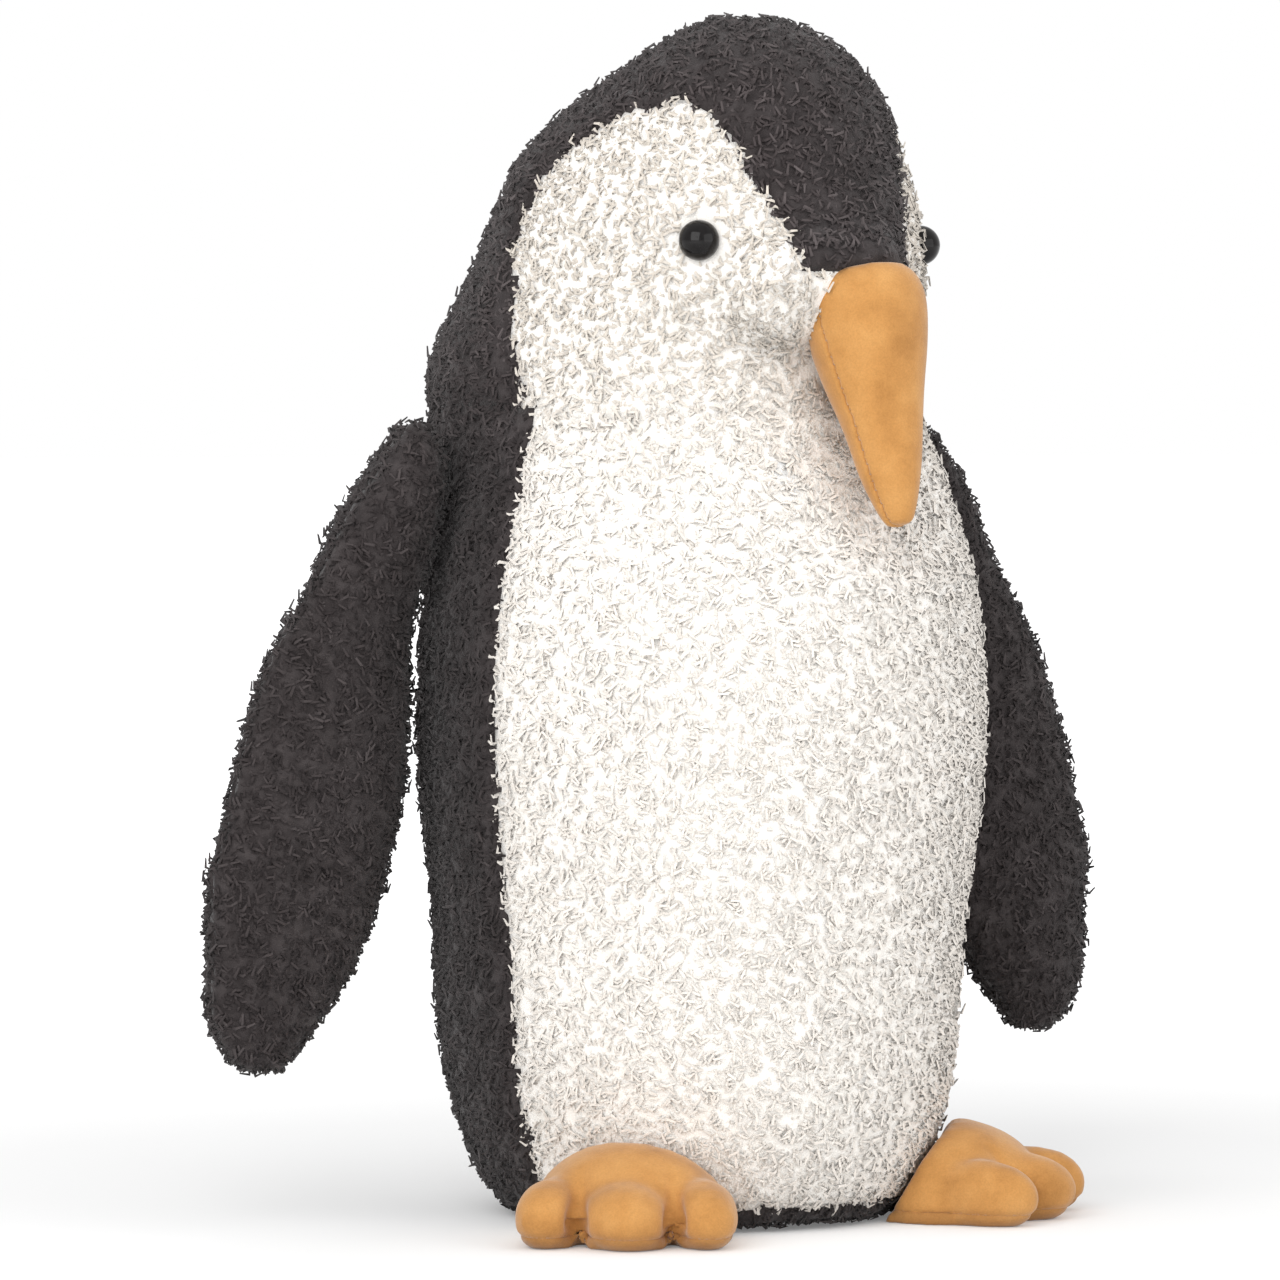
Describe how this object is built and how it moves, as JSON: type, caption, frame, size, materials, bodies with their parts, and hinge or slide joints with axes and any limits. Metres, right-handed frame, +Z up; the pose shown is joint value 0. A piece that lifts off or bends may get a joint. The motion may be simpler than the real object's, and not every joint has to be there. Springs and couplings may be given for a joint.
{
  "type": "plush penguin",
  "caption": "Soft stuffed penguin in charcoal and off-white curly plush, with suede beak and feet, bead eyes and a weighted flat base; head turns, flippers lift and feet flex.",
  "frame": {"origin": "on the resting plane, at the middle of the round flat base", "axes": "+Z up, -Y the way the chest faces, +X towards the penguin's own left"},
  "size_m": [0.233, 0.1266, 0.254],
  "materials": {
    "charcoal_plush": "short curly woolly pile, matt",
    "white_plush": "short curly woolly pile, off-white, matt",
    "ochre_suede": "soft brushed suede cloth, matt",
    "black_bead": "polished black plastic",
    "white_plastic": "plain moulded plastic",
    "polyester_fill": "loose white polyester fibre",
    "pouch_cloth": "thin woven cotton",
    "pellet_plastic": "smooth polyethylene pellets"
  },
  "bodies": {
    "torso": {"base_panel": "charcoal_plush", "belly_panel": "white_plush", "back_panel_left": "charcoal_plush", "back_panel_right": "charcoal_plush", "torso_stuffing": "polyester_fill", "bean_pouch": "pouch_cloth", "bean_pellets": "pellet_plastic"},
    "head": {"face_panel_left": "white_plush", "face_panel_right": "white_plush", "hood_side_left": "charcoal_plush", "hood_side_right": "charcoal_plush", "crown_gusset": "charcoal_plush", "head_stuffing": "polyester_fill", "eye_left": "black_bead", "eye_right": "black_bead", "eye_washer_left": "white_plastic", "eye_washer_right": "white_plastic", "beak_upper": "ochre_suede", "beak_lower": "ochre_suede", "beak_stuffing": "polyester_fill"},
    "flipper_left": {"flipper_left_front": "charcoal_plush", "flipper_left_back": "charcoal_plush", "flipper_left_stuffing": "polyester_fill"},
    "flipper_right": {"flipper_right_front": "charcoal_plush", "flipper_right_back": "charcoal_plush", "flipper_right_stuffing": "polyester_fill"},
    "foot_left": {"foot_left_upper": "ochre_suede", "foot_left_sole": "ochre_suede", "foot_left_stuffing": "polyester_fill"},
    "foot_right": {"foot_right_upper": "ochre_suede", "foot_right_sole": "ochre_suede", "foot_right_stuffing": "polyester_fill"}
  },
  "joints": [
    {"name": "head_turn", "type": "hinge", "parent": "torso", "child": "head", "pos_m": [0, 0.007, 0.17], "axis": [0, 0, 1], "range_deg": [-30, 30], "stiffness_Nm_per_rad": 0.08},
    {"name": "flipper_left_lift", "type": "hinge", "parent": "torso", "child": "flipper_left", "pos_m": [0.06415, 0.012, 0.161], "axis": [0, -1, 0], "range_deg": [0, 80], "stiffness_Nm_per_rad": 0.03},
    {"name": "flipper_right_lift", "type": "hinge", "parent": "torso", "child": "flipper_right", "pos_m": [-0.06415, 0.012, 0.161], "axis": [0, 1, 0], "range_deg": [0, 80], "stiffness_Nm_per_rad": 0.03},
    {"name": "foot_left_flex", "type": "hinge", "parent": "torso", "child": "foot_left", "pos_m": [0.04512, -0.04079, 0.0195], "axis": [-0.809, -0.5878, 0], "range_deg": [0, 35], "stiffness_Nm_per_rad": 0.02},
    {"name": "foot_right_flex", "type": "hinge", "parent": "torso", "child": "foot_right", "pos_m": [-0.04512, -0.04079, 0.0195], "axis": [-0.809, 0.5878, 0], "range_deg": [0, 35], "stiffness_Nm_per_rad": 0.02}
  ]
}
